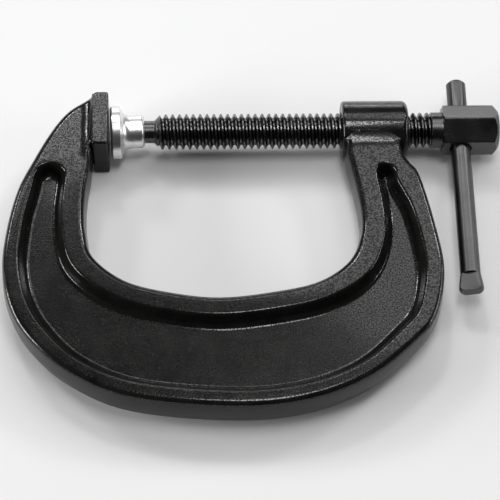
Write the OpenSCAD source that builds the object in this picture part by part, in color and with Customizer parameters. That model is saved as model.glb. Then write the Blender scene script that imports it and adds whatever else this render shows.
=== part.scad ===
// C clamp, 100 mm: forged frame, screw spindle with hexagon head, sliding tommy bar
// and a swivel pad.  The clamp lies on its side.  Origin: centre of the anvil's
// working face, on the screw axis.  +X along the screw towards the handle,
// +Y from the spine towards the screw, +Z square to the C.

/* [Jaws] */
// Widest work that fits between pad and anvil
opening = 100; // [90:1:120]
// Gap between pad and anvil with the screw run in
rest_gap = 0.95; // [0.9:0.05:3]
// Lean of the swivel pad on its ball at rest, in degrees
pad_lean = 2.5; // [0:0.5:3]
// Free space left between pad and boss at the full opening
boss_gap = 1; // [0.8:0.1:3]

/* [Anvil] */
// Thickness of the anvil plate
anvil_t = 8; // [6:0.5:12]
// Height of the anvil plate, across the C
anvil_h = 30; // [28:0.5:36]
// Width of the anvil plate, square to the C
anvil_w = 31; // [30:0.5:33]
// Radius of the fillet from the arm out to the anvil plate
anvil_fillet = 5.75; // [3:0.25:8]

/* [Frame] */
// Depth of the throat below the screw axis
throat = 96.1; // [85:0.1:120]
// Height of the spine at mid length
spine_h = 58.3; // [45:0.1:70]
// Thickness of the flanges, square to the C
frame_t = 22; // [18:0.5:26]
// Thickness of the web between the flanges
web_t = 7.2; // [5:0.1:10]
// Width of the arm that carries the anvil
anvil_arm_w = 40.4; // [34:0.1:48]
// Width of the arm that carries the screw
screw_arm_w = 40.5; // [36:0.1:50]
// Width of the outer flange beside the arms
rim_arm = 8.3; // [6:0.1:12]
// Width of the outer flange under the spine
rim_spine = 7.2; // [5:0.1:12]
// Width of the inner flange on the anvil side
lip_anvil = 10.5; // [8:0.1:13]
// Width of the inner flange along the spine
lip_spine = 9.7; // [7:0.1:13]
// Width of the inner flange on the screw side
lip_screw = 10.9; // [9:0.1:15]

/* [Boss] */
// Outer diameter of the threaded boss
boss_d = 30.3; // [28:0.1:36]
// Length of the threaded boss
boss_l = 33.4; // [30:0.1:45]
// Radius of the blend from the boss into the arm
boss_blend = 20; // [12:1:24]
// Rounding of the boss at its ends
boss_round = 2; // [1:0.5:3]

/* [Screw] */
// Outer diameter of the screw thread
thread_d = 18; // [16:0.5:20]
// Pitch of the screw thread
pitch = 3.5; // [3:0.25:4]
// Depth of the screw thread
thread_depth = 2.1; // [1.6:0.1:2.3]
// Radial clearance between the two threads
thread_play = 0.3; // [0.25:0.05:0.4]
// Length of the plain neck between pad and thread
neck_l = 5; // [3:0.5:8]
// Diameter of the plain neck
neck_d = 11.4; // [11.2:0.1:11.8]
// Thread between the boss and the collar with the screw run in
thread_out = 12.2; // [6:0.1:20]
// Length of the smooth collar under the head
collar_l = 5.7; // [3:0.1:10]
// Diameter of the smooth collar
collar_d = 18.3; // [18.1:0.1:20]

/* [Head and bar] */
// Width of the hexagon head across its flats
head_af = 22; // [20:0.5:26]
// Length of the hexagon head
head_l = 28.6; // [24:0.5:36]
// Distance of the bar from the collar side of the head
bar_seat = 9.2; // [7:0.1:14]
// Diameter of the tommy bar
bar_d = 10; // [8:0.5:11]
// Length of the tommy bar
bar_l = 119; // [100:1:150]
// Length of bar that stands out above the screw axis at rest
bar_up = 28; // [26:1:60]
// Radial clearance of the bar in the head
bar_play = 0.3; // [0.1:0.05:0.5]
// Width across the flattened end of the bar
bar_flare = 12.2; // [11.5:0.1:13]
// Length of the flattened end of the bar
bar_swage = 12; // [8:0.5:16]

/* [Pad] */
// Outer diameter of the swivel pad
pad_d = 26.8; // [24:0.1:32]
// Length of the swivel pad
pad_l = 17; // [16:0.1:20]
// Length of the pad's rim behind its face
rim_l = 5.1; // [3:0.1:7]
// Diameter of the pad's sleeve
sleeve_d = 16.6; // [16.4:0.1:20]
// Diameter of the ball at the end of the screw
ball_d = 12; // [10:0.5:12]
// Distance of the ball's centre from the pad's face
ball_seat = 8.2; // [8:0.1:9]
// Clearance of the ball in its seat
ball_play = 0.3; // [0.2:0.05:0.5]

/* [Hidden] */
$fn = 96;
EPS = 0.01;
forged_black = [0.07, 0.07, 0.075];
oxide_black = [0.12, 0.12, 0.13];
bright_steel = [0.80, 0.80, 0.82];
spring_steel = [0.45, 0.45, 0.48];

// Places along the screw axis with the screw run in
boss_x = opening + pad_l + boss_gap;
boss_end = boss_x + boss_l;
ball_x = rest_gap + ball_seat;
pad_back = rest_gap + pad_l;
thread_x = pad_back + neck_l;
collar_x = boss_end + thread_out;
head_x = collar_x + collar_l;
bar_x = head_x + bar_seat;

// ---------- curves ----------
function unit(v) = v / norm(v);
function along(a, b, c, d, t) =
    0.5 * ((2 * b) + (c - a) * t + (2 * a - 5 * b + 4 * c - d) * t * t
    + (3 * b - a - 3 * c + d) * t * t * t);
// A smooth curve through the stations p, with n steps between two of them
function smooth(p, n) = [
    for (i = [0 : len(p) - 2], j = [0 : n - 1])
        along(p[max(i - 1, 0)], p[i], p[i + 1], p[min(i + 2, len(p) - 1)], j / n),
    p[len(p) - 1]
];
function flat(p) = [for (q = p) [q[0], q[1]]];
// The curve moved sideways by each station's own width, to the left of its run
function beside(p) = [
    for (i = [0 : len(p) - 1])
        let (a = p[max(i - 1, 0)], b = p[min(i + 1, len(p) - 1)])
        let (t = unit([b[0] - a[0], b[1] - a[1]]))
        [p[i][0] - t[1] * p[i][2], p[i][1] + t[0] * p[i][2]]
];
function backwards(p) = [for (i = [len(p) - 1 : -1 : 0]) p[i]];
function part_of(p, a, b) = [for (i = [a : b]) p[i]];

// ---------- outline of the frame ----------
// Limits of the throat and of the frame
throat_x0 = -anvil_t - 2.5;
throat_x1 = boss_x + 6.7;
left_x = throat_x0 - anvil_arm_w;
right_x = throat_x1 + screw_arm_w;
throat_y = -throat;
spine_y = throat_y - spine_h;
mid_x = (left_x + right_x) / 2;
steps = 6;

// Stations [x, y, flange width], from the anvil round the spine to the boss
outer_line = smooth([
    [-anvil_t, anvil_h / 2 + 0.6, rim_arm],
    [throat_x0 - 9.4, anvil_h / 2 - 6.9, rim_arm],
    [left_x + 22.2, -3.6, rim_arm],
    [left_x + 13.2, -21, rim_arm - 2.5],
    [left_x + 5.9, -38, rim_arm - 2.4],
    [left_x + 1.4, throat_y + 36.7, rim_arm - 1.6],
    [left_x, throat_y + 16.7, rim_arm - 0.8],
    [left_x + 3.6, throat_y - 3.9, rim_arm],
    [left_x + 13.7, throat_y - 22, rim_arm],
    [left_x + 33.7, spine_y + 18.3, rim_spine],
    [left_x + 63.9, spine_y + 5.1, rim_spine],
    [mid_x + 6.8, spine_y, rim_spine],
    [right_x - 65.4, spine_y + 4.1, rim_spine],
    [right_x - 36.7, spine_y + 16.2, rim_spine],
    [right_x - 13.4, throat_y - 22.6, rim_arm],
    [right_x - 5.8, throat_y - 12.5, rim_arm],
    [right_x - 1.4, throat_y + 1.8, rim_arm],
    [right_x, throat_y + 17.9, rim_arm],
    [right_x - 3.2, throat_y + 39.8, rim_arm],
    [right_x - 6.7, -39.5, rim_arm + 1.3],
    [boss_end + 3.9, -28, rim_arm + 4],
    [boss_end - 0.2, -22.6, rim_arm],
    [boss_end - 2.9, -17, rim_arm],
    [boss_end - 4, -11, rim_arm]
], steps);
inner_line = smooth([
    [throat_x0 + 2.9, 3 - anvil_h / 2, lip_anvil],
    [throat_x0 + 2.2, -25, lip_anvil - 0.9],
    [throat_x0 + 0.6, -37, lip_anvil],
    [throat_x0, throat_y + 46.1, lip_anvil],
    [throat_x0 + 0.9, throat_y + 34.1, lip_anvil],
    [throat_x0 + 4.7, throat_y + 21.6, lip_anvil],
    [throat_x0 + 19.5, throat_y + 9.4, lip_spine],
    [throat_x0 + 39.5, throat_y + 3.3, lip_spine],
    [mid_x - 2.3, throat_y, lip_spine],
    [throat_x1 - 42.1, throat_y + 3, lip_spine],
    [throat_x1 - 21.2, throat_y + 8.2, lip_spine],
    [throat_x1 - 6.7, throat_y + 18.8, lip_screw],
    [throat_x1 - 0.5, throat_y + 33.1, lip_screw],
    [throat_x1 - 0.2, throat_y + 47.1, lip_screw],
    [throat_x1 - 2.4, -34, lip_screw],
    [boss_x + 1.8, -20, lip_screw],
    [boss_x + 0.6, -11, lip_screw]
], steps);

module frame_outline() {
    // closed across the anvil plate and across the boss
    polygon(concat(flat(outer_line), [[boss_end - 4, 0], [boss_x + 0.6, 0]],
        backwards(flat(inner_line)), [[-EPS, 3 - anvil_h / 2], [-EPS, anvil_h / 2 - 2]]));
}

// Half circle from a round to b, without the two ends
function half_turn(a, b, n) =
    let (c = (a + b) / 2, d = a - c)
    [for (i = [1 : n - 1]) let (t = 180 * i / n)
        c + [d[0] * cos(t) - d[1] * sin(t), d[0] * sin(t) + d[1] * cos(t)]];

// The recess follows both flanges and ends in a half round on each arm
module recess_outline() {
    a = part_of(beside(outer_line), 3 * steps + 4, 19 * steps + 5);
    b = part_of(beside([for (p = inner_line) [p[0], p[1], -p[2]]]), steps + 3,
        14 * steps + 2);
    polygon(concat(a, half_turn(a[len(a) - 1], b[len(b) - 1], 12),
        backwards(b), half_turn(b[0], a[0], 12)));
}

// ---------- screw thread ----------
// One turn of the thread: share of the pitch and share of the depth
thread_form = [[0, 0], [0.2, 0], [0.5, 1], [0.66, 1]];
facets = 20;
// Solid right-hand thread along X, turns whole turns long, starting at x0.
// grow widens it, and tip_r and tip_x make a cone at its start.
module helix(x0, turns, grow, tip_x, tip_r) {
    m = len(thread_form);
    rows = turns * m;
    root_r = thread_d / 2 - thread_depth;
    function px(k, j) = x0 + pitch * (floor(k / m) + thread_form[k % m][0] + j / facets);
    function pr(k, j) = min(root_r + grow + thread_depth * thread_form[k % m][1],
        tip_r + max(0, px(k, j) - tip_x));
    function at(k, j) = [px(k, j), pr(k, j) * cos(360 * j / facets),
        pr(k, j) * sin(360 * j / facets)];
    // rows 0 to rows, every facet, then the m points that close the last turn
    points = concat(
        [for (k = [0 : rows], j = [0 : facets - 1]) at(k, j)],
        [for (k = [rows + 1 : rows + m]) at(k, 0)],
        [[x0, 0, 0], [x0 + pitch * (turns + 1), 0, 0]]);
    base = (rows + 1) * facets;
    function id(k, j) = j == facets ? id(k + m, 0)
        : k <= rows ? k * facets + j : base + k - rows - 1;
    start = base + m;
    finish = start + 1;
    faces = concat(
        [for (k = [0 : rows - 1], j = [0 : facets - 1]) [id(k, j), id(k + 1, j), id(k + 1, j + 1)]],
        [for (k = [0 : rows - 1], j = [0 : facets - 1]) [id(k, j), id(k + 1, j + 1), id(k, j + 1)]],
        [for (j = [0 : facets - 1]) [start, id(0, j), id(0, j + 1)]],
        [for (k = [0 : m - 1]) [start, id(k + 1, 0), id(k, 0)]],
        [for (j = [0 : facets - 1]) [finish, id(rows, j + 1), id(rows, j)]],
        [for (k = [rows : rows + m - 1]) [finish, id(k, 0), id(k + 1, 0)]]);
    polyhedron(points, faces);
}
// Whole turns that keep both threads in step, from the start of the thread
function turns_to(x) = floor((x - thread_x) / pitch);

// ---------- shapes along X ----------
module along_x(x) {
    translate([x, 0, 0])
        rotate([0, 90, 0])
            children();
}

module hexagon_bar(af, l) {
    // flats face +Y and -Y
    cylinder(d = af / cos(30), h = l, $fn = 6);
}

// ---------- frame ----------
module flange_body() {
    difference() {
        translate([0, 0, -frame_t / 2])
            linear_extrude(frame_t)
                frame_outline();
        for (side = [-1, 1])
            translate([0, 0, side * (web_t + frame_t) / 2])
                linear_extrude(frame_t, center = true)
                    recess_outline();
    }
}

// Fillet profile from the arm's faces out to the anvil plate, in X and Z
module anvil_profile() {
    r = anvil_fillet;
    difference() {
        translate([-anvil_t - r, -anvil_w / 2])
            square([anvil_t + r, anvil_w]);
        for (side = [-1, 1])
            translate([-anvil_t - r, side * (frame_t / 2 + r)])
                circle(r = r);
    }
}

module anvil() {
    translate([-anvil_t, -anvil_h / 2, -anvil_w / 2])
        cube([anvil_t, anvil_h, anvil_w]);
    intersection() {
        rotate([-90, 0, 0])
            linear_extrude(anvil_h + 4, center = true)
                anvil_profile();
        linear_extrude(anvil_w, center = true)
            frame_outline();
    }
}

// Blend from the boss into the arm's faces, in Y and Z
module blend_profile() {
    face = frame_t / 2;
    reach = sqrt(pow(boss_d / 2 + boss_blend, 2) - pow(face + boss_blend, 2));
    touch = boss_d / 2 / (boss_d / 2 + boss_blend);
    difference() {
        translate([-reach, -touch * (face + boss_blend)])
            square([reach * (1 - touch) + EPS, 2 * touch * (face + boss_blend)]);
        for (side = [-1, 1])
            translate([-reach, side * (face + boss_blend)])
                circle(r = boss_blend);
    }
}

// Half section of a solid cylinder with rounded rims
module round_end_profile(r, l, edge) {
    square([r - edge, l]);
    translate([0, edge])
        square([r, l - 2 * edge]);
    for (y = [edge, l - edge])
        translate([r - edge, y])
            circle(r = edge);
}

module boss() {
    translate([boss_x, 0, 0])
        rotate([90, 0, 90])
            rotate_extrude()
                round_end_profile(boss_d / 2, boss_l, boss_round);
    intersection() {
        translate([boss_x, 0, 0])
            rotate([90, 0, 90])
                linear_extrude(boss_l)
                    blend_profile();
        linear_extrude(boss_d, center = true)
            frame_outline();
    }
}

module frame() {
    color(forged_black)
        difference() {
            union() {
                flange_body();
                anvil();
                boss();
            }
            helix(thread_x + pitch * (turns_to(boss_x) - 1), turns_to(boss_end) - turns_to(boss_x) + 2,
                thread_play, boss_x, boss_d);
        }
}

// ---------- spindle ----------
module head() {
    chamfer = 3.4;
    intersection() {
        along_x(head_x)
            hexagon_bar(head_af, head_l);
        along_x(head_x)
            rotate_extrude()
                polygon([[0, 0], [head_af / 2, 0], [head_af / 2 + 1.4, 0.8],
                    [head_af / 2 + 1.4, head_l - chamfer + 0.6], [head_af / 2 - 1.2, head_l], [0, head_l]]);
    }
}

module spindle() {
    relief_d = ball_d - 4;
    thread_turns = turns_to(collar_x);
    color(oxide_black)
        difference() {
            union() {
                translate([ball_x, 0, 0])
                    sphere(d = ball_d);
                along_x(ball_x)
                    cylinder(d = relief_d, h = pad_back - ball_x);
                along_x(pad_back - 1.5)
                    cylinder(d = neck_d, h = neck_l + 1.5 + pitch);
                helix(thread_x, thread_turns, 0, thread_x, neck_d / 2 - 0.1);
                along_x(collar_x)
                    cylinder(d = collar_d, h = collar_l + EPS);
                head();
            }
            translate([bar_x, 0, 0])
                rotate([90, 0, 0])
                    cylinder(d = bar_d + 2 * bar_play, h = 2 * head_af, center = true);
        }
}

// ---------- swivel pad ----------
ring_t = 1.4;
ring_x = ball_d / 2 - 1.8;
ring_d = ball_d + 1.6;
ring_bore = ball_d - 3;
groove_play = 0.5;

module swivel_pad() {
    flare = (pad_d - sleeve_d) / 2;
    seat_r = ball_d / 2 + ball_play;
    mouth_r = neck_d / 2 + 0.8;
    color(bright_steel)
        translate([ball_x, 0, 0])
            rotate([0, 0, pad_lean])
                along_x(-ball_seat)
                    rotate_extrude()
                        difference() {
                            polygon([[0, 0], [pad_d / 2 - 1, 0], [pad_d / 2, 1.2],
                                [pad_d / 2, rim_l], [sleeve_d / 2, rim_l + flare],
                                [sleeve_d / 2, pad_l - 2], [mouth_r + 0.4, pad_l], [0, pad_l]]);
                            translate([pad_d / 2, rim_l + flare])
                                circle(r = flare);
                            translate([0, ball_seat])
                                circle(r = seat_r);
                            translate([0, ball_seat])
                                square([seat_r, ring_x]);
                            translate([0, ball_seat + ring_x - groove_play])
                                square([ring_d / 2 + groove_play - 0.1, ring_t + 2 * groove_play]);
                            translate([0, ball_seat + ring_x])
                                square([mouth_r, pad_l]);
                        }
}

module pad_snap_ring() {
    split = 2;
    color(spring_steel)
        along_x(ball_x + ring_x)
            difference() {
                cylinder(d = ring_d, h = ring_t);
                translate([0, 0, -1])
                    cylinder(d = ring_bore, h = ring_t + 2);
                translate([0, -split / 2, -1])
                    cube([ring_d, split, ring_t + 2]);
            }
}

// ---------- tommy bar ----------
// The foot is pressed flat and spreads past the hole in the head. The top end keeps
// the bar's width, with its corners taken off and two narrow flats
flat_t = bar_d - 3.2;
bar_nose = 2;
top_flat_t = bar_d - 1.2;
top_nose = 1.4;
flat_turn = 15;

module end_flats(z, thick, turn) {
    rotate([0, 0, turn])
        for (side = [-1, 1])
            translate([-bar_flare, side * (thick + bar_flare) / 2 - bar_flare / 2, z])
                cube([2 * bar_flare, bar_flare, bar_swage]);
}

module tommy_bar() {
    r = bar_d / 2;
    wide = bar_flare / 2;
    color(oxide_black)
        translate([bar_x, bar_up, 0])
            rotate([90, 0, 0])
                difference() {
                    rotate_extrude()
                        polygon([[0, 0], [r - top_nose, 0], [r, top_nose],
                            [r, bar_l - bar_swage], [wide, bar_l - bar_nose],
                            [wide - bar_nose, bar_l], [0, bar_l]]);
                    end_flats(-EPS, top_flat_t, 0);
                    end_flats(bar_l - bar_swage + EPS, flat_t, flat_turn);
                }
}

frame();
spindle();
swivel_pad();
pad_snap_ring();
tommy_bar();
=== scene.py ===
"""A forged C clamp lying on its side: I-section frame, threaded spindle, swivel pad, tommy bar.

The piece operators build each part of the clamp in the frame's own axes: X along the screw,
Y from the spine to the screw and Z square to the C. Lengths inside this file are in millimetres
and turn into metres where vertices are made.
"""
import math

import bmesh
import bpy
from bpy.props import FloatProperty, FloatVectorProperty, IntProperty, PointerProperty
from mathutils import Matrix, Vector


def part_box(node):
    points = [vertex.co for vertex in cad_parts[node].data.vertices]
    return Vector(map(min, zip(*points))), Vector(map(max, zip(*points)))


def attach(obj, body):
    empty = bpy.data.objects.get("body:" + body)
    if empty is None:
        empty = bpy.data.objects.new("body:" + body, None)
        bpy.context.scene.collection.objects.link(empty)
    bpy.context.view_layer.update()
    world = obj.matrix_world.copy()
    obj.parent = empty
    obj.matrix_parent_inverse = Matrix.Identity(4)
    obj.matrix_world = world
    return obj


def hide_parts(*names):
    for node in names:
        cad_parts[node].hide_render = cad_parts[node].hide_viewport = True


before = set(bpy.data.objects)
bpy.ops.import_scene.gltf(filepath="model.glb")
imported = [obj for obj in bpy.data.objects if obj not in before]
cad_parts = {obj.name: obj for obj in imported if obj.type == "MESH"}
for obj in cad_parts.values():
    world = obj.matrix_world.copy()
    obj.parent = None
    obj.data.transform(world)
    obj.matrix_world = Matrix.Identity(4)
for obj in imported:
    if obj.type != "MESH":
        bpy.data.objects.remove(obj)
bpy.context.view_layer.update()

bl_info = {
    "name": "Forged C clamp",
    "version": (1, 0, 0),
    "blender": (4, 5, 0),
    "location": "3D View > Sidebar > Clamp",
    "description": "Builds a forged C clamp piece by piece, with its finishes and studio",
    "category": "Add Mesh",
}

MM = 0.001


def box_mm(node):
    """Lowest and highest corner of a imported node, in millimetres."""
    low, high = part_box(node)
    return low / MM, high / MM


FRAME_LOW, FRAME_HIGH = box_mm("frame")
SPINDLE_LOW, SPINDLE_HIGH = box_mm("spindle")
BAR_LOW, BAR_HIGH = box_mm("tommy_bar")


# ---------- sizes and colours ----------
def length(name, description, mm):
    return FloatProperty(name=name, description=description, default=mm * MM, min=0.0, unit="LENGTH")


def colour(name, description, value):
    return FloatVectorProperty(name=name, description=description, default=value, size=3,
                               min=0.0, max=1.0, subtype="COLOR")


class ClampFrameSizes(bpy.types.PropertyGroup):
    flange_t: length("Flange thickness", "Thickness of the flanges, square to the C", 22)
    web_t: length("Web thickness", "Thickness of the web between the flanges", 7.2)
    edge_round: length("Edge round", "Round on the outer edges of the flanges", 3.0)
    lip_round: length("Lip round", "Round where a flange turns down into the recess", 1.6)
    root_round: length("Root fillet", "Fillet where the recess wall meets the web", 3.2)
    draft: FloatProperty(name="Draft", description="Slope of the outer walls from the parting line",
                         default=math.radians(5), subtype="ANGLE")
    recess_draft: FloatProperty(name="Recess draft", description="Slope of the recess walls",
                                default=math.radians(25), subtype="ANGLE")
    anvil_t: length("Anvil thickness", "Thickness of the anvil plate", 8)
    anvil_h: length("Anvil height", "Height of the anvil plate across the C", 30)
    anvil_run: length("Anvil fillet run", "How far the fillet runs from the plate along the arm", 7.5)
    anvil_rise: length("Anvil fillet rise", "How far the fillet rises above the arm's face", 3.4)
    boss_x: length("Boss place", "Distance from the anvil's face to the boss", 118)
    boss_d: length("Boss diameter", "Outer diameter of the threaded boss", 30.3)
    boss_l: length("Boss length", "Length of the threaded boss", 33.4)
    boss_blend: length("Boss blend", "Radius of the blend from the boss into the arm", 20)
    thread_play: length("Thread play", "Radial clearance between screw and boss", 0.3)


class ClampScrewSizes(bpy.types.PropertyGroup):
    thread_d: length("Thread diameter", "Outer diameter of the screw thread", 18)
    thread_depth: length("Thread depth", "Depth of the screw thread", 2.1)
    pitch: length("Pitch", "Pitch of the screw thread", 3.5)
    facets: IntProperty(name="Facets", description="Steps in one turn of the thread", default=40, min=12)
    thread_x: length("Thread place", "Distance from the anvil's face to the thread", 22.95)
    neck_x: length("Neck place", "Distance from the anvil's face to the neck", 16.45)
    neck_d: length("Neck diameter", "Diameter of the plain neck", 11.4)
    stem_d: length("Stem diameter", "Diameter of the stem behind the ball", 8)
    ball_d: length("Ball diameter", "Diameter of the ball inside the pad", 12)
    collar_d: length("Collar diameter", "Diameter of the smooth collar", 18.3)
    collar_l: length("Collar length", "Length of the smooth collar", 5.7)
    head_af: length("Head across flats", "Width of the hexagon head", 22)
    head_l: length("Head length", "Length of the hexagon head", 28.6)
    bar_d: length("Bar diameter", "Diameter of the tommy bar", 10)
    bar_play: length("Bar play", "Radial clearance of the bar in the head", 0.3)
    bar_swage: length("Flattened length", "Length of each flattened end of the bar", 8.9)
    bar_flat: length("Flattened thickness", "Thickness of the bar across its flattened foot", 6.8)
    bar_top_flat: length("Top thickness", "Thickness of the bar across the two flats at its top", 8.8)
    bar_nose: length("Top chamfer", "How far the corners are taken off at the bar's top", 1.4)


class ClampPadSizes(bpy.types.PropertyGroup):
    pad_d: length("Pad diameter", "Outer diameter of the swivel pad", 26.8)
    pad_l: length("Pad length", "Length of the swivel pad", 17)
    rim_l: length("Rim length", "Length of the pad's rim", 5.1)
    sleeve_d: length("Sleeve diameter", "Diameter of the pad's sleeve", 16.6)
    ball_seat: length("Ball seat", "Distance of the ball's centre from the pad's face", 8.2)
    ball_play: length("Ball play", "Clearance of the ball in its seat", 0.3)
    lean: FloatProperty(name="Lean", description="Lean of the pad on its ball at rest",
                        default=math.radians(2.5), subtype="ANGLE")


class ClampFinish(bpy.types.PropertyGroup):
    paint: colour("Paint", "Black paint on the forging", (0.003, 0.003, 0.003))
    paint_dust: colour("Paint, worn", "Paint where the forging skin shows through", (0.012, 0.012, 0.011))
    oxide: colour("Black oxide", "Oiled black oxide on the screw", (0.066, 0.066, 0.067))
    oxide_rubbed: colour("Rubbed oxide", "Oxide rubbed through on edges", (0.32, 0.32, 0.325))
    bright: colour("Bright steel", "Turned and polished steel of the pad", (0.86, 0.86, 0.87))
    spring: colour("Spring steel", "Retaining ring", (0.42, 0.42, 0.44))
    floor: colour("Floor", "Studio floor and backdrop", (0.92, 0.92, 0.92))


def sizes(group):
    """The group's lengths in millimetres and its other values as they are."""
    values = {}
    for name, prop in group.bl_rna.properties.items():
        if name in {"rna_type", "name"}:
            continue
        value = getattr(group, name)
        values[name] = value / MM if getattr(prop, "unit", "NONE") == "LENGTH" else value
    return type("Sizes", (), values)


# ---------- mesh helpers ----------
def wire(bm, points, closed=False):
    """A chain of edges through the points, given in millimetres."""
    verts = [bm.verts.new(Vector(p) * MM) for p in points]
    pairs = list(zip(verts, verts[1:]))
    if closed:
        pairs.append((verts[-1], verts[0]))
    edges = [bm.edges.new(pair) for pair in pairs]
    return verts + edges


def turned(profile, segments=96, centre=(0, 0, 0)):
    """A solid turned about the X axis from (x, radius) points in millimetres.

    A profile that starts and ends on the axis closes by itself; another is closed as a ring.
    """
    bm = bmesh.new()
    on_axis = profile[0][1] == 0 and profile[-1][1] == 0
    geom = wire(bm, [(x, r, 0) for x, r in profile], closed=not on_axis)
    bmesh.ops.spin(bm, geom=geom, cent=(0, 0, 0), axis=(1, 0, 0), angle=math.tau,
                   steps=segments, use_merge=True)
    bmesh.ops.remove_doubles(bm, verts=bm.verts, dist=0.002 * MM)
    bmesh.ops.recalc_face_normals(bm, faces=bm.faces)
    bmesh.ops.translate(bm, verts=bm.verts, vec=Vector(centre) * MM)
    return bm


def arc(cx, cy, r, start, end, n):
    """n + 1 points of an arc about (cx, cy), with its angles in degrees."""
    turns = [math.radians(start + (end - start) * i / n) for i in range(n + 1)]
    return [(cx + r * math.cos(a), cy + r * math.sin(a)) for a in turns]


def to_object(bm, name):
    """The mesh as an object of the scene; the bmesh is used up."""
    mesh = bpy.data.meshes.new(name)
    bm.to_mesh(mesh)
    bm.free()
    obj = bpy.data.objects.new(name, mesh)
    bpy.context.scene.collection.objects.link(obj)
    return obj


def carved(first, second, operation):
    """UNION, DIFFERENCE or INTERSECT of two closed meshes; both are used up."""
    base, tool = to_object(first, "base"), to_object(second, "tool")
    cut = base.modifiers.new("cut", "BOOLEAN")
    cut.operation = operation
    cut.solver = "EXACT"
    cut.object = tool
    bm = bmesh.new()
    bm.from_object(base, bpy.context.evaluated_depsgraph_get())
    for obj in (base, tool):
        mesh = obj.data
        bpy.data.objects.remove(obj)
        bpy.data.meshes.remove(mesh)
    if not bm.faces:
        raise RuntimeError(f"{operation} left nothing")
    return bm


def finished(bm, name, body, node, material, smooth_angle=35):
    """The mesh as the finished piece that stands for a node, riding on its body."""
    bmesh.ops.remove_doubles(bm, verts=bm.verts, dist=0.001 * MM)
    many_sided = [f for f in bm.faces if len(f.verts) > 4]
    bmesh.ops.triangulate(bm, faces=many_sided, ngon_method="BEAUTY")
    obj = to_object(bm, name)
    obj.data.shade_smooth()
    obj.data.set_sharp_from_angle(angle=math.radians(smooth_angle))
    weighted = obj.modifiers.new("flat faces stay flat", "WEIGHTED_NORMAL")
    weighted.keep_sharp = True
    weighted.weight = 90
    obj.data.materials.append(material)
    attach(obj, body)
    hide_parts(node)
    return obj


# ---------- frame ----------
def spline(stations, steps):
    """A smooth curve through the stations, with steps points to each stretch."""
    p = [Vector(s) for s in stations]
    points = []
    for i in range(len(p) - 1):
        a, b, c, d = p[max(i - 1, 0)], p[i], p[i + 1], p[min(i + 2, len(p) - 1)]
        for j in range(steps):
            t = j / steps
            points.append(0.5 * (2 * b + (c - a) * t + (2 * a - 5 * b + 4 * c - d) * t ** 2
                                 + (3 * b - a - 3 * c + d) * t ** 3))
    return points + [p[-1]]


def beside(line, side):
    """The line moved sideways by each point's own width; side 1 is left of its run."""
    moved = []
    for i, p in enumerate(line):
        run = (line[min(i + 1, len(line) - 1)] - line[max(i - 1, 0)]).xy.normalized()
        moved.append(Vector((p.x - side * run.y * p.z, p.y + side * run.x * p.z)))
    return moved


# points to each stretch of the two lines, and the widths of the flanges beside them
STEPS = 6
RIM_ARM, RIM_SPINE = 8.3, 7.2
LIP_ANVIL, LIP_SPINE, LIP_SCREW = 10.5, 9.7, 10.9
# points of the outer line and of the throat line between which the recess runs
RECESS_OUTER = (3 * STEPS + 4, 19 * STEPS + 5)
RECESS_THROAT = (STEPS + 3, 14 * STEPS + 2)
# the recess's two ends lie above this Y, and are smoothed this many times
RECESS_ENDS_Y = -45
SMOOTHINGS = 12
# how far past a blend the faces are cut finer, and how deep the frame reaches into plate and boss
BLEND_MARGIN = 12
BOSS_ARM_Y = -60
PLATE_JOIN = 6
BOSS_JOIN_Y = -2


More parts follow.
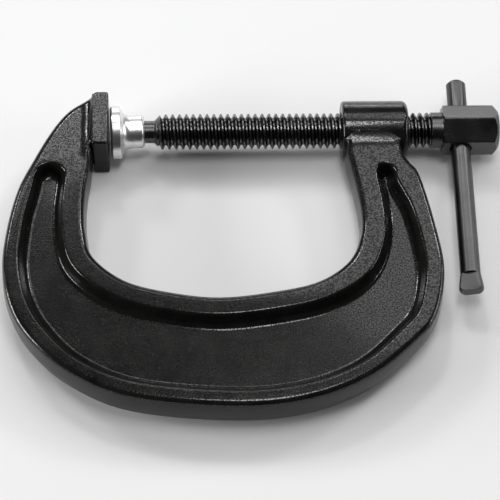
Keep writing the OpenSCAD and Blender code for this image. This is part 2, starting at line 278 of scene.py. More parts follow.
def clamp_lines(s):
    """Outer and throat line of the frame, as (x, y, flange width) from the anvil to the boss."""
    boss, boss_end = s.boss_x, s.boss_x + s.boss_l
    left, right, spine = FRAME_LOW.x, FRAME_HIGH.x, FRAME_LOW.y
    throat0, throat1, throat = -s.anvil_t - 2.5, boss + 6.7, -96.1
    mid = (left + right) / 2
    outer = [
        (-s.anvil_t, s.anvil_h / 2 + 0.6, RIM_ARM),
        (throat0 - 9.4, s.anvil_h / 2 - 6.9, RIM_ARM),
        (left + 22.2, -3.6, RIM_ARM),
        (left + 13.2, -21, RIM_ARM - 2.5),
        (left + 5.9, -38, RIM_ARM - 2.4),
        (left + 1.4, throat + 36.7, RIM_ARM - 1.6),
        (left, throat + 16.7, RIM_ARM - 0.8),
        (left + 3.6, throat - 3.9, RIM_ARM),
        (left + 13.7, throat - 22, RIM_ARM),
        (left + 33.7, spine + 18.3, RIM_SPINE),
        (left + 63.9, spine + 5.1, RIM_SPINE),
        (mid + 6.8, spine, RIM_SPINE),
        (right - 65.4, spine + 4.1, RIM_SPINE),
        (right - 36.7, spine + 16.2, RIM_SPINE),
        (right - 13.4, throat - 22.6, RIM_ARM),
        (right - 5.8, throat - 12.5, RIM_ARM),
        (right - 1.4, throat + 1.8, RIM_ARM),
        (right, throat + 17.9, RIM_ARM),
        (right - 3.2, throat + 39.8, RIM_ARM),
        (right - 6.7, -39.5, RIM_ARM + 1.3),
        (boss_end + 3.9, -28, RIM_ARM + 4),
        (boss_end - 0.2, -22.6, RIM_ARM),
        (boss_end - 2.9, -17, RIM_ARM),
        (boss_end - 4, -11, RIM_ARM),
    ]
    inner = [
        (throat0 + 2.9, 3 - s.anvil_h / 2, LIP_ANVIL),
        (throat0 + 2.2, -25, LIP_ANVIL - 0.9),
        (throat0 + 0.6, -37, LIP_ANVIL),
        (throat0, throat + 46.1, LIP_ANVIL),
        (throat0 + 0.9, throat + 34.1, LIP_ANVIL),
        (throat0 + 4.7, throat + 21.6, LIP_ANVIL),
        (throat0 + 19.5, throat + 9.4, LIP_SPINE),
        (throat0 + 39.5, throat + 3.3, LIP_SPINE),
        (mid - 2.3, throat, LIP_SPINE),
        (throat1 - 42.1, throat + 3, LIP_SPINE),
        (throat1 - 21.2, throat + 8.2, LIP_SPINE),
        (throat1 - 6.7, throat + 18.8, LIP_SCREW),
        (throat1 - 0.5, throat + 33.1, LIP_SCREW),
        (throat1 - 0.2, throat + 47.1, LIP_SCREW),
        (throat1 - 2.4, -34, LIP_SCREW),
        (boss + 1.8, -20, LIP_SCREW),
        (boss + 0.6, -11, LIP_SCREW),
    ]
    return spline(outer, STEPS), spline(inner, STEPS)


def half_turn(start, end, n):
    """n points of the half circle from start to end, turning left, without its two ends."""
    centre = (start + end) / 2
    radius = start - centre
    return [centre + Matrix.Rotation(math.pi * (i + 1) / (n + 1), 2) @ radius for i in range(n)]


def clamp_loops(s):
    """The frame's outline and the recess's outline, point for point beside each other."""
    outer, inner = clamp_lines(s)
    boss_side = [Vector((s.boss_x + along, BOSS_JOIN_Y)) for along in (20, 8)]
    anvil_side = [Vector((PLATE_JOIN - s.anvil_t, y)) for y in (4 - s.anvil_h / 2, 0, s.anvil_h / 2 - 2)]
    edge = [p.xy for p in outer] + boss_side + [p.xy for p in reversed(inner)] + anvil_side
    first, last = RECESS_OUTER
    low, high = RECESS_THROAT
    outer_side = beside(outer, 1)[first:last + 1]
    inner_side = beside(inner, -1)[low:high + 1]
    boss_n = (len(outer) - 1 - last) + len(boss_side) + (len(inner) - 1 - high)
    anvil_n = low + len(anvil_side) + first
    recess = (outer_side + half_turn(outer_side[-1], inner_side[-1], boss_n)
              + inner_side[::-1] + half_turn(inner_side[0], outer_side[0], anvil_n))
    recess = recess[-first:] + recess[:-first]
    for _ in range(SMOOTHINGS):
        around = zip(recess[-1:] + recess[:-1], recess, recess[1:] + recess[:1])
        recess = [(a + 2 * b + c) / 4 if b.y > RECESS_ENDS_Y else b for a, b, c in around]
    return edge, recess


def round_steps(radius, start, end, n):
    """Steps round a convex edge, from a wall that leans start degrees to end degrees."""
    turns = [math.radians(start + (end - start) * i / n) for i in range(n + 1)]
    return [(radius * (math.cos(a) - math.cos(b)), radius * (math.sin(b) - math.sin(a)))
            for a, b in zip(turns, turns[1:])]


def stepped(bm, loop, steps, start, shallow=False):
    """Rings inside a loop at height start, by steps of (how far in, how far up), and the last face.

    No ring goes past the middle of a narrow place. With shallow, its height stops there too,
    so the end of a narrow recess isn't as deep.
    """
    around = list(zip(loop[-1:] + loop[:-1], loop, loop[1:] + loop[:1]))
    side = 1 if sum(p.cross(q) for p, q, _ in around) > 0 else -1
    inward = [Vector((a.y - b.y, b.x - a.x)).normalized() * side for a, _, b in around]
    room = [min((q - p).length_squared / (2 * (q - p).dot(n)) for q in loop if (q - p).dot(n) > 1e-6)
            for p, n in zip(loop, inward)]
    reach, rise = [0.0], [0.0]
    for across, up in steps:
        reach.append(reach[-1] + across)
        rise.append(rise[-1] + up)
    rings = []
    for limit, up in zip(reach, rise):
        ring = []
        for p, n, r in zip(loop, inward, room):
            far = min(limit, 0.96 * r)
            if shallow and far < limit:
                k = max(i for i, value in enumerate(reach[:-1]) if value <= far)
                share = (far - reach[k]) / (reach[k + 1] - reach[k])
                height = rise[k] + (rise[k + 1] - rise[k]) * share
            else:
                height = up
            ring.append(bm.verts.new((*((p + n * far) * MM), (start + height) * MM)))
        rings.append(ring)
    for upper, lower in zip(rings, rings[1:]):
        for i in range(len(loop)):
            bm.faces.new((upper[i - 1], upper[i], lower[i], lower[i - 1]))
    last = bm.faces.new(rings[-1])
    return last, [v for ring in rings[1:] for v in ring]


def flange_half(s):
    """Upper half of the I section: drafted wall, rounded edge, flange face, recess and web."""
    edge_loop, recess_loop = clamp_loops(s)
    bm = bmesh.new()
    draft, recess_draft = math.degrees(s.draft), math.degrees(s.recess_draft)
    edge_rise = s.edge_round * (1 - math.sin(s.draft))
    wall = s.flange_t / 2 - edge_rise
    wall_steps = [(wall * math.tan(s.draft), wall)] + round_steps(s.edge_round, draft, 90, 6)
    inside, _ = stepped(bm, edge_loop, wall_steps, 0)
    bmesh.ops.delete(bm, geom=[inside], context="FACES_ONLY")

    depth = (s.flange_t - s.web_t) / 2
    rounds = (s.lip_round + s.root_round) * (1 - math.sin(s.recess_draft))
    steps = [(abs(a), abs(b)) for a, b in round_steps(s.lip_round, 90, recess_draft, 4)]
    steps += [((depth - rounds) / 4 * math.tan(s.recess_draft), (depth - rounds) / 4)] * 4
    steps += round_steps(s.root_round, recess_draft, 90, 6)
    _, sunk = stepped(bm, recess_loop, [(a, -b) for a, b in steps], s.flange_t / 2, shallow=True)
    bmesh.ops.remove_doubles(bm, verts=sunk, dist=0.03 * MM)
    rims = [e for e in bm.edges if e.is_boundary and all(v.co.z > depth * MM for v in e.verts)]
    bmesh.ops.triangle_fill(bm, edges=rims, use_beauty=True, normal=(0, 0, 1))
    return bm


def cut_across(bm, normal, places, near):
    """Extra edges across the faces near a blend, at the places along the normal."""
    bmesh.ops.triangulate(bm, faces=[f for f in bm.faces if near(f.calc_center_median() / MM)])
    for place in places:
        faces = [f for f in bm.faces if near(f.calc_center_median() / MM)]
        geom = set(faces)
        for f in faces:
            geom.update(f.edges)
            geom.update(f.verts)
        bmesh.ops.bisect_plane(bm, geom=list(geom), dist=0.001 * MM,
                               plane_co=Vector(normal) * place * MM, plane_no=normal)


def steps_between(a, b, n):
    """n + 1 even values from a to b."""
    return [a + (b - a) * i / n for i in range(n + 1)]


def thicken(bm, s):
    """Raises the arm's faces in a fillet to the anvil plate and in a blend to the boss."""
    half = s.flange_t / 2
    plate_back, plate_foot = -s.anvil_t, -s.anvil_h / 2
    start_x = plate_back - s.anvil_run
    reach_y = plate_foot - s.anvil_run
    middle = s.boss_x / 2

    def near_plate(c):
        return start_x - BLEND_MARGIN < c.x < middle and c.y > reach_y - BLEND_MARGIN

    def near_boss(c):
        return c.x > middle and c.y > BOSS_ARM_Y

    cut_across(bm, (1, 0, 0), steps_between(start_x, plate_back, 9), near_plate)
    cut_across(bm, (0, 1, 0), steps_between(reach_y, plate_foot + 2, 8), near_plate)
    blend_y = -math.sqrt((s.boss_d / 2 + s.boss_blend) ** 2 - (half + s.boss_blend) ** 2)
    touch_y = blend_y * s.boss_d / (s.boss_d + 2 * s.boss_blend)
    cut_across(bm, (0, 1, 0), steps_between(blend_y, touch_y, 9), near_boss)
    for v in bm.verts:
        x, y = v.co.x / MM, v.co.y / MM
        if x < middle and y > reach_y:
            gap = math.hypot(min(0, x - plate_back), min(0, y - plate_foot))
            nearness = max(0.0, 1 - gap / s.anvil_run)
            lift = s.anvil_rise * (1 - math.sqrt(1 - nearness ** 2))
            v.co.z *= 1 + lift / half
        if x > middle and y > blend_y:
            along = min(y, touch_y) - blend_y
            lift = s.boss_blend - math.sqrt(s.boss_blend ** 2 - along ** 2)
            v.co.z *= 1 + lift / half


def anvil_plate(s):
    """The anvil plate with its edges rounded, the back top edge most."""
    bm = bmesh.new()
    bmesh.ops.create_cube(bm, size=1)
    plate = Vector((s.anvil_t, s.anvil_h, FRAME_HIGH.z - FRAME_LOW.z))
    bmesh.ops.scale(bm, verts=bm.verts, vec=plate * MM)
    bmesh.ops.translate(bm, verts=bm.verts, vec=Vector((-s.anvil_t / 2, 0, 0)) * MM)
    top_back = [e for e in bm.edges if all(v.co.x < -s.anvil_t / 2 * MM and v.co.y > 0 for v in e.verts)]
    bmesh.ops.bevel(bm, geom=top_back, offset=2.6 * MM, segments=5, profile=0.5, affect="EDGES",
                    material=-1, offset_type="OFFSET")
    sharp = [e for e in bm.edges if e.calc_face_angle(0) > math.radians(50)]
    bmesh.ops.bevel(bm, geom=sharp, offset=1.1 * MM, segments=3, profile=0.5, affect="EDGES",
                    material=-1, offset_type="OFFSET")
    return bm


def boss_barrel(s):
    """The boss: a barrel with a small round at the jaw end and a larger one at the handle end."""
    r, x0, x1 = s.boss_d / 2, s.boss_x, s.boss_x + s.boss_l
    jaw, handle = 1.5, 3.0
    profile = ([(x0, 0)] + arc(x0 + jaw, r - jaw, jaw, 180, 90, 5)
               + arc(x1 - handle, r - handle, handle, 90, 0, 7) + [(x1, 0)])
    return turned(profile, 96)


def boss_hole(s, thread):
    """The internal thread with a chamfer at each mouth."""
    x0, x1 = s.boss_x, s.boss_x + s.boss_l
    start = thread.thread_x + thread.pitch * (math.floor((x0 - thread.thread_x) / thread.pitch) - 2)
    turns = math.ceil(s.boss_l / thread.pitch) + 4
    bm = thread_solid(thread, start, turns, s.thread_play)
    mouth = thread.thread_d / 2 + s.thread_play
    core = mouth - thread.thread_depth - 0.3
    chamfer = turned([(x0 - 4, 0), (x0 - 4, mouth + 4.6), (x0, mouth + 0.6), (x0 + 3, core), (x1 - 3, core),
                      (x1, mouth + 0.6), (x1 + 4, mouth + 4.6), (x1 + 4, 0)], 72)
    return carved(bm, chamfer, "UNION")


class CLAMP_OT_frame(bpy.types.Operator):
    """Build the forged frame with its anvil, boss, recesses and internal thread"""

    bl_idname = "clamp.frame"
    bl_label = "Forged frame"

    def execute(self, context):
        s = sizes(context.scene.clamp_frame)
        bm = flange_half(s)
        thicken(bm, s)
        bmesh.ops.mirror(bm, geom=bm.verts[:] + bm.edges[:] + bm.faces[:], axis="Z")
        bmesh.ops.remove_doubles(bm, verts=bm.verts, dist=0.001 * MM)
        bmesh.ops.recalc_face_normals(bm, faces=bm.faces)
        bm = carved(bm, anvil_plate(s), "UNION")
        bm = carved(bm, boss_barrel(s), "UNION")
        bm = carved(bm, boss_hole(s, sizes(context.scene.clamp_screw)), "DIFFERENCE")
        finished(bm, "forged_frame", "frame", "frame",
                 forged_paint(context.scene.clamp_finish))
        return {"FINISHED"}


# ---------- spindle ----------
# one turn's profile: share of the pitch along the screw, share of the thread's depth
THREAD_FORM = [(0, 0), (0.17, 0), (0.2, 0.04), (0.47, 0.94), (0.5, 1), (0.66, 1), (0.69, 0.94), (0.97, 0.05),
               (1, 0)]


def thread_solid(thread, start, turns, grow):
    """A solid right-hand thread about X, closed by a long cone at each end."""
    bm = bmesh.new()
    root = thread.thread_d / 2 - thread.thread_depth + grow
    profile = [(start + thread.pitch * x, root + thread.thread_depth * r, 0) for x, r in THREAD_FORM]
    geom = wire(bm, profile)
    bmesh.ops.spin(bm, geom=geom, cent=(0, 0, 0), axis=(1, 0, 0), angle=math.tau * turns,
                   dvec=(thread.pitch * MM / thread.facets, 0, 0), steps=turns * thread.facets)
    bmesh.ops.remove_doubles(bm, verts=bm.verts, dist=0.01 * MM)
    reach = 2 * thread.pitch
    middle = (start + thread.pitch * (turns + 1) / 2) * MM
    for side, apex in ((-1, start - reach), (1, start + thread.pitch * (turns + 1) + reach)):
        rim = [e for e in bm.edges if e.is_boundary and (e.verts[0].co.x - middle) * side > 0]
        grown = bmesh.ops.extrude_edge_only(bm, edges=rim)
        tip = [g for g in grown["geom"] if isinstance(g, bmesh.types.BMVert)]
        bmesh.ops.pointmerge(bm, verts=tip, merge_co=(apex * MM, 0, 0))
    bmesh.ops.recalc_face_normals(bm, faces=bm.faces)
    return bm


def hexagon_head(s, head_x):
    """The hexagon head, chamfered by turning."""
    bm = bmesh.new()
    made = bmesh.ops.create_circle(bm, cap_ends=True, segments=6, radius=s.head_af / math.sqrt(3) * MM)
    turn = Matrix.Rotation(math.pi / 2, 4, "Y") @ Matrix.Rotation(math.pi / 6, 4, "Z")
    bmesh.ops.transform(bm, matrix=turn, verts=made["verts"])
    grown = bmesh.ops.extrude_face_region(bm, geom=bm.faces[:])
    top = [g for g in grown["geom"] if isinstance(g, bmesh.types.BMVert)]
    bmesh.ops.translate(bm, verts=top, vec=(s.head_l * MM, 0, 0))
    bmesh.ops.translate(bm, verts=bm.verts, vec=(head_x * MM, 0, 0))
    bmesh.ops.recalc_face_normals(bm, faces=bm.faces)
    edges = [e for e in bm.edges if abs(e.verts[0].co.x - e.verts[1].co.x) > s.head_l / 2 * MM]
    bmesh.ops.bevel(bm, geom=edges, offset=0.35 * MM, segments=2, profile=0.5, affect="EDGES", material=-1)
    end, r = head_x + s.head_l, s.head_af / 2
    blank = turned([(head_x, 0), (head_x, r), (head_x + 0.9, r + 1.8), (end - 2.9, r + 1.8),
                    (end - 0.25, r - 1.0), (end, r - 1.5), (end, 0)], 96)
    return carved(bm, blank, "INTERSECT")


def cross_hole(s, bar_x):
    """Cutter for the bar's hole, with a small chamfer where it breaks out."""
    r, flat = (s.bar_d / 2 + s.bar_play), s.head_af / 2
    profile = [(-flat - 2, 0), (-flat - 2, r + 2.5), (-flat + 0.5, r), (flat - 0.5, r), (flat + 2, r + 2.5),
               (flat + 2, 0)]
    bm = turned(profile, 64)
    bmesh.ops.rotate(bm, verts=bm.verts, cent=(0, 0, 0), matrix=Matrix.Rotation(math.pi / 2, 3, "Z"))
    bmesh.ops.translate(bm, verts=bm.verts, vec=(bar_x * MM, 0, 0))
    return bm


class CLAMP_OT_spindle(bpy.types.Operator):
    """Build the spindle: ball, neck, thread, collar and drilled hexagon head"""

    bl_idname = "clamp.spindle"
    bl_label = "Spindle"

    def execute(self, context):
        s = sizes(context.scene.clamp_screw)
        end = SPINDLE_HIGH.x
        head_x = end - s.head_l
        collar_x = head_x - s.collar_l
        ball_x = SPINDLE_LOW.x + s.ball_d / 2
        bar_x = (BAR_LOW.x + BAR_HIGH.x) / 2
        neck, crest = s.neck_d / 2, s.thread_d / 2
        turns = math.ceil((collar_x - s.thread_x) / s.pitch) + 4
        bm = thread_solid(s, s.thread_x - 2 * s.pitch, turns, 0)
        blank = turned([(s.thread_x - 0.6, 0), (s.thread_x - 0.6, neck - 0.6),
                        (s.thread_x + crest - neck + 0.5, crest + 0.5),
                        (collar_x + 1, crest + 0.5), (collar_x + 1, 0)], 96)
        bm = carved(bm, blank, "INTERSECT")
        ball = arc(ball_x, 0, s.ball_d / 2, 180, 42, 16)
        ball[0] = (ball[0][0], 0)
        stem = s.stem_d / 2
        tip = turned(ball + [(ball_x + 5.2, stem), (s.neck_x, stem), (s.neck_x, neck - 0.4),
                             (s.neck_x + 0.4, neck), (s.thread_x + 4, neck), (s.thread_x + 4, 0)], 64)
        bm = carved(bm, tip, "UNION")
        collar = s.collar_d / 2
        bm = carved(bm, turned([(collar_x - 0.2, 0), (collar_x - 0.2, collar - 0.5), (collar_x + 0.3, collar),
                                (head_x - 0.3, collar), (head_x + 1, collar), (head_x + 1, 0)], 96), "UNION")
        bm = carved(bm, hexagon_head(s, head_x), "UNION")
        bm = carved(bm, cross_hole(s, bar_x), "DIFFERENCE")
        finished(bm, "screw_spindle", "screw", "spindle",
                 black_oxide(context.scene.clamp_finish, "black oxide, screw", 0.2), 28)
        return {"FINISHED"}


# ---------- swivel pad and its ring ----------
class CLAMP_OT_swivel_pad(bpy.types.Operator):
    """Turn the swivel pad: face, rim, concave flare, sleeve and ball seat"""

    bl_idname = "clamp.swivel_pad"
    bl_label = "Swivel pad"

    def execute(self, context):
        s = sizes(context.scene.clamp_pad)
        screw = sizes(context.scene.clamp_screw)
        rim, sleeve, mouth = s.pad_d / 2, s.sleeve_d / 2, screw.neck_d / 2 + 0.8
        seat, flare = screw.ball_d / 2 + s.ball_play, (s.pad_d - s.sleeve_d) / 2
        outside = ([(0, 0), (0, rim - 2.2)] + arc(1.3, rim - 1.3, 1.3, 170, 90, 4)
                   + arc(s.rim_l - 0.4, rim - 0.4, 0.4, 90, 10, 3)
                   + arc(s.rim_l + flare, rim, flare, 188, 270, 10)
                   + arc(s.pad_l - 1.6, sleeve - 1.2, 1.2, 90, 30, 3) + [(s.pad_l, mouth + 0.5)])
        ball_arc = arc(s.ball_seat, 0, seat, 90, 180, 12)
        inside = ([(s.pad_l, mouth), (s.ball_seat + 6.1, mouth), (s.ball_seat + 6.1, 7.2),
                   (s.ball_seat + 3.7, 7.2), (s.ball_seat + 3.7, seat)] + ball_arc[:-1]
                  + [(s.ball_seat - seat, 0)])
        bm = turned(outside + inside, 96, (-s.ball_seat, 0, 0))
        bmesh.ops.rotate(bm, verts=bm.verts, cent=(0, 0, 0), matrix=Matrix.Rotation(s.lean, 3, "Z"))
        ball_x = SPINDLE_LOW.x + screw.ball_d / 2
        bmesh.ops.translate(bm, verts=bm.verts, vec=(ball_x * MM, 0, 0))
        finished(bm, "swivel_pad_turned", "pad", "swivel_pad",
                 bright_steel(context.scene.clamp_finish), 30)
        return {"FINISHED"}


class CLAMP_OT_snap_ring(bpy.types.Operator):
    """Dress the split ring that keeps the pad on its ball"""

    bl_idname = "clamp.snap_ring"
    bl_label = "Pad snap ring"

    def execute(self, context):
        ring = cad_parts["pad_snap_ring"]
        finish = context.scene.clamp_finish
        ring.data.materials.clear()
        ring.data.materials.append(black_oxide(finish, "spring steel", 0.38, finish.spring))
        return {"FINISHED"}


# ---------- tommy bar ----------
class CLAMP_OT_tommy_bar(bpy.types.Operator):
    """Build the tommy bar with its foot pressed flat and spread, and its top corners off"""

    bl_idname = "clamp.tommy_bar"
    bl_label = "Tommy bar"

    def execute(self, context):
        s = sizes(context.scene.clamp_screw)
        top, foot = BAR_HIGH.y, BAR_LOW.y
        bar_x = (BAR_LOW.x + BAR_HIGH.x) / 2
        r, wide, nose = s.bar_d / 2, (BAR_HIGH.x - BAR_LOW.x) / 2, 1.6
        total, press = top - foot, s.bar_swage
        top_end = [(0, 0), (0, r - s.bar_nose), (0.2, r - s.bar_nose + 0.25), (s.bar_nose, r)]
        foot_end = [(0, 0)] + arc(nose, wide - nose, nose, 180, 90, 5) + [
            (3.4, wide - 0.1), (press, r + 0.15), (press + 0.45, r)]
        spacing = [press] + steps_between(press + 6, total - press - 6, 8)
        profile = top_end + [(x, r) for x in spacing] + [(total - x, y) for x, y in reversed(foot_end)]
        bm = turned(profile, 72)
        press_flat(bm, 0, press, s.bar_top_flat / 2, math.radians(90))
        press_flat(bm, total - press, total, s.bar_flat / 2, math.radians(105))
        bmesh.ops.rotate(bm, verts=bm.verts, cent=(0, 0, 0), matrix=Matrix.Rotation(-math.pi / 2, 3, "Z"))
        bmesh.ops.translate(bm, verts=bm.verts, vec=Vector((bar_x, top, 0)) * MM)
        finished(bm, "tommy_bar_rod", "bar", "tommy_bar",
                 black_oxide(context.scene.clamp_finish, "black oxide, bar", 0.3), 30)
        return {"FINISHED"}


def press_flat(bm, start, end, half, turn):
    """Flattens the bar between two places along X, as a press does, on two opposite sides."""
    across = Vector((0, math.cos(turn), math.sin(turn)))
    for v in bm.verts:
        if start * MM - 1e-7 <= v.co.x <= end * MM + 1e-7:
            reach = v.co.dot(across)
            v.co -= across * (reach - max(-half * MM, min(half * MM, reach)))


# ---------- finishes ----------
def new_group(name, inputs, outputs):
    """An empty shader node group with named sockets; each is (type, name, default)."""
    group = bpy.data.node_groups.new(name, "ShaderNodeTree")
    for kind, label, default in inputs:
        socket = group.interface.new_socket(label, in_out="INPUT", socket_type=kind)
        if default is not None:
            socket.default_value = default
    for kind, label in outputs:
        group.interface.new_socket(label, in_out="OUTPUT", socket_type=kind)
    return group, group.nodes.new("NodeGroupInput"), group.nodes.new("NodeGroupOutput")


def node(tree, kind, links=None, **values):
    """A node with its settings; links maps an input socket to an output socket or a value."""
    made = tree.nodes.new(kind)
    for name, value in values.items():
        setattr(made, name, value)
    for name, source in (links or {}).items():
        if isinstance(source, bpy.types.NodeSocket):
            tree.links.new(source, made.inputs[name])
        else:
            made.inputs[name].default_value = source
    return made


def grain_group():
    """Skin: soft lumps and dents on Object coordinates, as a height, a mottle mask and a speckle mask."""
    if "Clamp skin grain" in bpy.data.node_groups:
        return bpy.data.node_groups["Clamp skin grain"]
    group, inp, out = new_group(
        "Clamp skin grain",
        [("NodeSocketFloat", "Coarse Scale", 300.0), ("NodeSocketFloat", "Fine Scale", 1500.0),
         ("NodeSocketFloat", "Fine Share", 0.1), ("NodeSocketFloat", "Contrast", 0.5)],
        [("NodeSocketFloat", "Height"), ("NodeSocketFloat", "Mottle"), ("NodeSocketFloat", "Speckle")])
    place = node(group, "ShaderNodeTexCoord").outputs["Object"]
    coarse = node(group, "ShaderNodeTexNoise",
                  {"Vector": place, "Scale": inp.outputs["Coarse Scale"], "Detail": 1.0, "Roughness": 0.4})
    fine = node(group, "ShaderNodeTexNoise",
                {"Vector": place, "Scale": inp.outputs["Fine Scale"], "Detail": 0.0})
    height = node(group, "ShaderNodeMath",
                  {0: fine.outputs["Fac"], 1: inp.outputs["Fine Share"], 2: coarse.outputs["Fac"]},
                  operation="MULTIPLY_ADD")
    patches = node(group, "ShaderNodeTexNoise",
                   {"Vector": place, "Scale": 90.0, "Detail": 4.0, "Roughness": 0.6})
    spread = node(group, "ShaderNodeMath", {0: patches.outputs["Fac"], 1: 0.5}, operation="SUBTRACT")
    mottle = node(group, "ShaderNodeMath", {0: spread.outputs[0], 1: inp.outputs["Contrast"], 2: 0.5},
                  operation="MULTIPLY_ADD", use_clamp=True)
    group.links.new(height.outputs[0], out.inputs["Height"])
    speckle = node(group, "ShaderNodeMapRange",
                   {"Value": coarse.outputs["Fac"], "From Min": 0.4, "From Max": 0.62})
    group.links.new(mottle.outputs[0], out.inputs["Mottle"])
    group.links.new(speckle.outputs[0], out.inputs["Speckle"])
    return group


def edge_group():
    """Edge wear: a mask where the surface turns sharply, broken up by noise."""
    if "Clamp edge wear" in bpy.data.node_groups:
        return bpy.data.node_groups["Clamp edge wear"]
    group, inp, out = new_group(
        "Clamp edge wear",
        [("NodeSocketFloat", "Width", 0.0008), ("NodeSocketFloat", "Breakup Scale", 400.0),
         ("NodeSocketFloat", "Amount", 1.0)],
        [("NodeSocketFloat", "Mask")])
    soft = node(group, "ShaderNodeBevel", {"Radius": inp.outputs["Width"]}, samples=6)
    true = node(group, "ShaderNodeNewGeometry").outputs["Normal"]
    facing = node(group, "ShaderNodeVectorMath", {0: soft.outputs["Normal"], 1: true},
                  operation="DOT_PRODUCT")
    turned_away = node(group, "ShaderNodeMapRange",
                       {"Value": facing.outputs["Value"], "From Min": 0.995, "From Max": 0.9})
    place = node(group, "ShaderNodeTexCoord").outputs["Object"]
    broken = node(group, "ShaderNodeTexNoise",
                  {"Vector": place, "Scale": inp.outputs["Breakup Scale"], "Detail": 4.0})
    worn = node(group, "ShaderNodeMapRange",
                {"Value": broken.outputs["Fac"], "From Min": 0.42, "From Max": 0.62})
    both = node(group, "ShaderNodeMath", {0: turned_away.outputs[0], 1: worn.outputs[0]},
                operation="MULTIPLY")
    amount = node(group, "ShaderNodeMath", {0: both.outputs[0], 1: inp.outputs["Amount"]},
                  operation="MULTIPLY", use_clamp=True)
    group.links.new(amount.outputs[0], out.inputs["Mask"])
    return group


def placed(tree, group, **values):
    """A node group placed in a material with its own values."""
    made = tree.nodes.new("ShaderNodeGroup")
    made.node_tree = group
    for name, value in values.items():
        made.inputs[name.replace("_", " ")].default_value = value
    return made


def material(name):
    """A new material with its node tree and its shader."""
    made = bpy.data.materials.new(name)
    made.use_nodes = True
    return made, made.node_tree, made.node_tree.nodes["Principled BSDF"]


def blend_colour(tree, mask, low, high):
    """Base colour that goes from low to high with the mask."""
    mix = node(tree, "ShaderNodeMix", data_type="RGBA")
    tree.links.new(mask, mix.inputs[0])
    for socket, value in ((mix.inputs[6], low), (mix.inputs[7], high)):
        if isinstance(value, bpy.types.NodeSocket):
            tree.links.new(value, socket)
        else:
            socket.default_value = (*value, 1)
    return mix.outputs[2]


def bump(tree, shader, height, strength, distance):
    """Relief on the shader's normal; distance is in metres."""
    relief = node(tree, "ShaderNodeBump", {"Height": height, "Strength": strength, "Distance": distance})
    tree.links.new(relief.outputs[0], shader.inputs["Normal"])


def spread_value(tree, mask, low, high):
    """A value that goes from low to high with the mask."""
    return node(tree, "ShaderNodeMapRange", {"Value": mask, "To Min": low, "To Max": high}).outputs[0]


def flank_mask(tree, gloss):
    """The gloss, lost on the trimmed flanks that stand square to the parting plane."""
    normal = node(tree, "ShaderNodeTexCoord").outputs["Normal"]
    height = node(tree, "ShaderNodeSeparateXYZ", {"Vector": normal}).outputs["Z"]
    upright = node(tree, "ShaderNodeMath", {0: height}, operation="ABSOLUTE").outputs[0]
    kept = node(tree, "ShaderNodeMapRange", {"Value": upright, "From Min": 0.15, "From Max": 0.55}).outputs[0]
    return node(tree, "ShaderNodeMath", {0: kept, 1: gloss}, operation="MULTIPLY").outputs[0]


def forged_paint(finish):
    """Black paint over the skin of a forging, with a gloss that the grain breaks up."""
    made, tree, shader = material("forged black paint")
    skin = placed(tree, grain_group(), Coarse_Scale=1400.0, Fine_Scale=3000.0, Fine_Share=0.3, Contrast=2.0)
    mottle = skin.outputs["Mottle"]
    tree.links.new(blend_colour(tree, mottle, finish.paint, finish.paint_dust), shader.inputs["Base Color"])
    tree.links.new(spread_value(tree, mottle, 0.14, 0.24), shader.inputs["Roughness"])
    tree.links.new(flank_mask(tree, spread_value(tree, skin.outputs["Speckle"], 0.1, 1.0)),
                   shader.inputs["Coat Weight"])
    shader.inputs["Coat Roughness"].default_value = 0.1
    shader.inputs["Specular IOR Level"].default_value = 0.15
    bump(tree, shader, skin.outputs["Height"], 1.0, 0.00009)
    return made


def black_oxide(finish, name, roughness, base=None):
    """Oiled oxide on turned steel, with a fine grain and rubbed edges."""
    made, tree, shader = material(name)
    skin = placed(tree, grain_group(), Coarse_Scale=260.0, Fine_Scale=1800.0, Fine_Share=0.2, Contrast=1.6)
    wear = placed(tree, edge_group(), Width=0.0006, Breakup_Scale=600.0, Amount=0.6)
    dark = tuple(base or finish.oxide)
    mottled = blend_colour(tree, skin.outputs["Mottle"], dark, tuple(min(1, c * 1.8) for c in dark))
    tree.links.new(blend_colour(tree, wear.outputs["Mask"], mottled, tuple(finish.oxide_rubbed)),
                   shader.inputs["Base Color"])
    shader.inputs["Metallic"].default_value = 1.0
    tree.links.new(spread_value(tree, skin.outputs["Mottle"], roughness, roughness + 0.12),
                   shader.inputs["Roughness"])
    bump(tree, shader, skin.outputs["Height"], 0.25, 0.0001)
    return made


def bright_steel(finish):
    """Turned and polished steel with fine rings about the screw axis."""
    made, tree, shader = material("bright turned steel")
    place = node(tree, "ShaderNodeTexCoord").outputs["Object"]
    rings = node(tree, "ShaderNodeMapping", {"Vector": place, "Scale": (9000, 60, 60)})
    lines = node(tree, "ShaderNodeTexNoise", {"Vector": rings.outputs[0], "Scale": 1.0, "Detail": 2.0})
    skin = placed(tree, grain_group(), Coarse_Scale=180.0, Fine_Scale=900.0, Fine_Share=0.1, Contrast=2.0)
    tree.links.new(blend_colour(tree, skin.outputs["Mottle"], tuple(c * 0.93 for c in finish.bright),
                                tuple(finish.bright)), shader.inputs["Base Color"])
    shader.inputs["Metallic"].default_value = 1.0
    tree.links.new(spread_value(tree, lines.outputs["Fac"], 0.26, 0.4), shader.inputs["Roughness"])
    bump(tree, shader, lines.outputs["Fac"], 0.12, 0.00005)
    return made


# ---------- studio ----------
# half the floor's side in metres, and its distance below the frame in millimetres
FLOOR_SIZE = 6
FLOOR_GAP = 0.2
# the camera's place in millimetres, the way from the clamp back to it, its roll and its lens
CAMERA_PLACE = Vector((44.59, -470.53, 821.16))
CAMERA_BACK = Vector((-0.0281, -0.4406, 0.8972))
CAMERA_ROLL = math.radians(-0.45)
LENS = 133.56


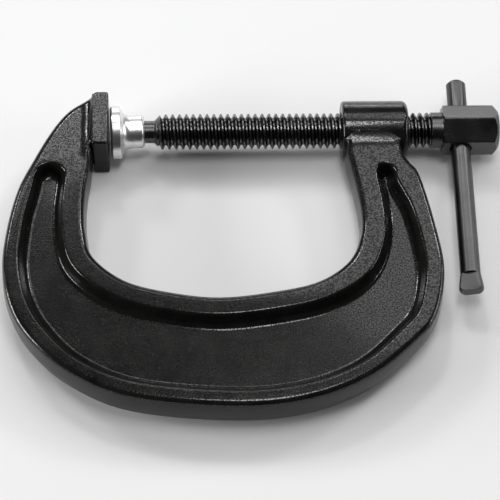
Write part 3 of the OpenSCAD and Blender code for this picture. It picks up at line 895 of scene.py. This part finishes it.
class CLAMP_OT_stage(bpy.types.Operator):
    """Set up the floor, the room, the softboxes, the far lamps and the camera"""

    bl_idname = "clamp.stage"
    bl_label = "Studio"

    def execute(self, context):
        scene = context.scene
        scene.view_settings.view_transform = "Standard"
        bm = bmesh.new()
        bmesh.ops.create_grid(bm, x_segments=1, y_segments=1, size=FLOOR_SIZE)
        bmesh.ops.translate(bm, verts=bm.verts, vec=(0, 0, (FRAME_LOW.z - FLOOR_GAP) * MM))
        floor = to_object(bm, "floor")
        floor.data.materials.append(floor_material(scene.clamp_finish))
        studio_world(scene)
        for softbox_values in SOFTBOXES:
            softbox(scene, *softbox_values)
        for lamp_values in FAR_LAMPS:
            far_lamp(scene, *lamp_values)
        studio_camera(scene)
        return {"FINISHED"}


# softboxes that face the clamp: name, centre, (width, depth) in metres, radiance
SOFTBOXES = [
    ("long softbox, behind and to the right", (0.44, 0.48, 1.0), (0.76, 0.52), 2.2),
    ("rear softbox, to the left", (-0.14, 0.74, 1.0), (0.44, 0.42), 3.6),
    ("overhead softbox", (0.14, -0.04, 1.0), (0.34, 0.2), 10.5),
    ("low strip, left", (-1.2, -0.18, 0.36), (0.8, 0.26), 19.0),
    ("low strip, right", (1.3, 0.05, 0.36), (0.8, 0.2), 8.0),
]
# far round lamps: name, lean from the zenith towards +X and +Y, angular radius in degrees, radiance
FAR_LAMPS = [
    ("rear lamp, left", -46, 44, 5, 20),
    ("rear lamp, right", 46, 42, 5, 20),
    ("spark lamp", -13, 38, 2.5, 40),
]


def floor_material(finish):
    """Pale matt floor that takes the clamp's shadow."""
    made, tree, shader = material("studio floor")
    shader.inputs["Base Color"].default_value = (*finish.floor, 1)
    shader.inputs["Roughness"].default_value = 1.0
    shader.inputs["Specular IOR Level"].default_value = 0.0
    return made


def studio_world(scene):
    """A dim, even room with a bright wall low behind the clamp, the same for every ray."""
    world = scene.world or bpy.data.worlds.new("studio")
    scene.world = world
    world.use_nodes = True
    tree = world.node_tree
    tree.nodes.clear()
    sight = node(tree, "ShaderNodeTexCoord").outputs["Generated"]
    way = node(tree, "ShaderNodeSeparateXYZ", {"Vector": sight})
    wall = node(tree, "ShaderNodeMapRange", {"Value": way.outputs["Y"], "From Min": 0.93, "From Max": 1.0,
                                             "To Min": 0.04, "To Max": 3.4}, interpolation_type="SMOOTHSTEP")
    sky = node(tree, "ShaderNodeBackground", {"Color": (1, 1, 1, 1), "Strength": wall.outputs[0]})
    out = node(tree, "ShaderNodeOutputWorld")
    tree.links.new(sky.outputs[0], out.inputs["Surface"])


def softbox(scene, name, place, size, radiance):
    """A rectangular lamp at a place in metres, turned to the origin."""
    lamp = bpy.data.lights.new(name, "AREA")
    lamp.shape = "RECTANGLE"
    lamp.size, lamp.size_y = size
    lamp.energy = radiance * math.pi * size[0] * size[1]
    obj = bpy.data.objects.new(name, lamp)
    obj.location = place
    obj.rotation_euler = Vector(place).to_track_quat("Z", "Y").to_euler()
    scene.collection.objects.link(obj)


def far_lamp(scene, name, lean_x, lean_y, radius, radiance):
    """A round lamp so far away that it lights everything from one side."""
    lamp = bpy.data.lights.new(name, "SUN")
    lamp.angle = 2 * math.radians(radius)
    lamp.energy = radiance * 2 * math.pi * (1 - math.cos(math.radians(radius)))
    obj = bpy.data.objects.new(name, lamp)
    way = Vector((math.tan(math.radians(lean_x)), math.tan(math.radians(lean_y)), 1))
    obj.rotation_euler = way.to_track_quat("Z", "Y").to_euler()
    scene.collection.objects.link(obj)


def studio_camera(scene):
    """The camera, looking down along CAMERA_BACK reversed, with a slight roll."""
    back = CAMERA_BACK.normalized()
    right = (Vector((1, 0, 0)) - back * back.x).normalized()
    turn = Matrix((right, back.cross(right), back)).transposed() @ Matrix.Rotation(CAMERA_ROLL, 3, "Z")
    data = bpy.data.cameras.new("camera")
    data.lens = LENS
    data.sensor_width = 36
    data.clip_end = 100
    camera = bpy.data.objects.new("camera", data)
    camera.matrix_world = Matrix.Translation(CAMERA_PLACE * MM) @ turn.to_4x4()
    scene.collection.objects.link(camera)
    scene.camera = camera


# ---------- panel and registration ----------
class CLAMP_PT_parts(bpy.types.Panel):
    """Lists the clamp's pieces and the sizes and colours behind them"""

    bl_idname = "CLAMP_PT_parts"
    bl_label = "C clamp"
    bl_space_type = "VIEW_3D"
    bl_region_type = "UI"
    bl_category = "Clamp"

    def draw(self, context):
        for operator in PIECES:
            self.layout.operator(operator.bl_idname)
        for name, group in GROUPS.items():
            box = self.layout.box()
            box.label(text=group.__name__)
            for prop in group.__annotations__:
                box.prop(getattr(context.scene, name), prop)


PIECES = (CLAMP_OT_stage, CLAMP_OT_frame, CLAMP_OT_spindle, CLAMP_OT_swivel_pad, CLAMP_OT_snap_ring,
          CLAMP_OT_tommy_bar)
GROUPS = {"clamp_frame": ClampFrameSizes, "clamp_screw": ClampScrewSizes, "clamp_pad": ClampPadSizes,
          "clamp_finish": ClampFinish}
CLASSES = (*GROUPS.values(), *PIECES, CLAMP_PT_parts)


def register():
    for cls in CLASSES:
        bpy.utils.register_class(cls)
    for name, group in GROUPS.items():
        setattr(bpy.types.Scene, name, PointerProperty(type=group))


def unregister():
    for name in GROUPS:
        delattr(bpy.types.Scene, name)
    for cls in reversed(CLASSES):
        bpy.utils.unregister_class(cls)


def main():
    register()
    for operator in PIECES:
        family, action = operator.bl_idname.split(".")
        getattr(getattr(bpy.ops, family), action)()


if __name__ == "__main__":
    main()
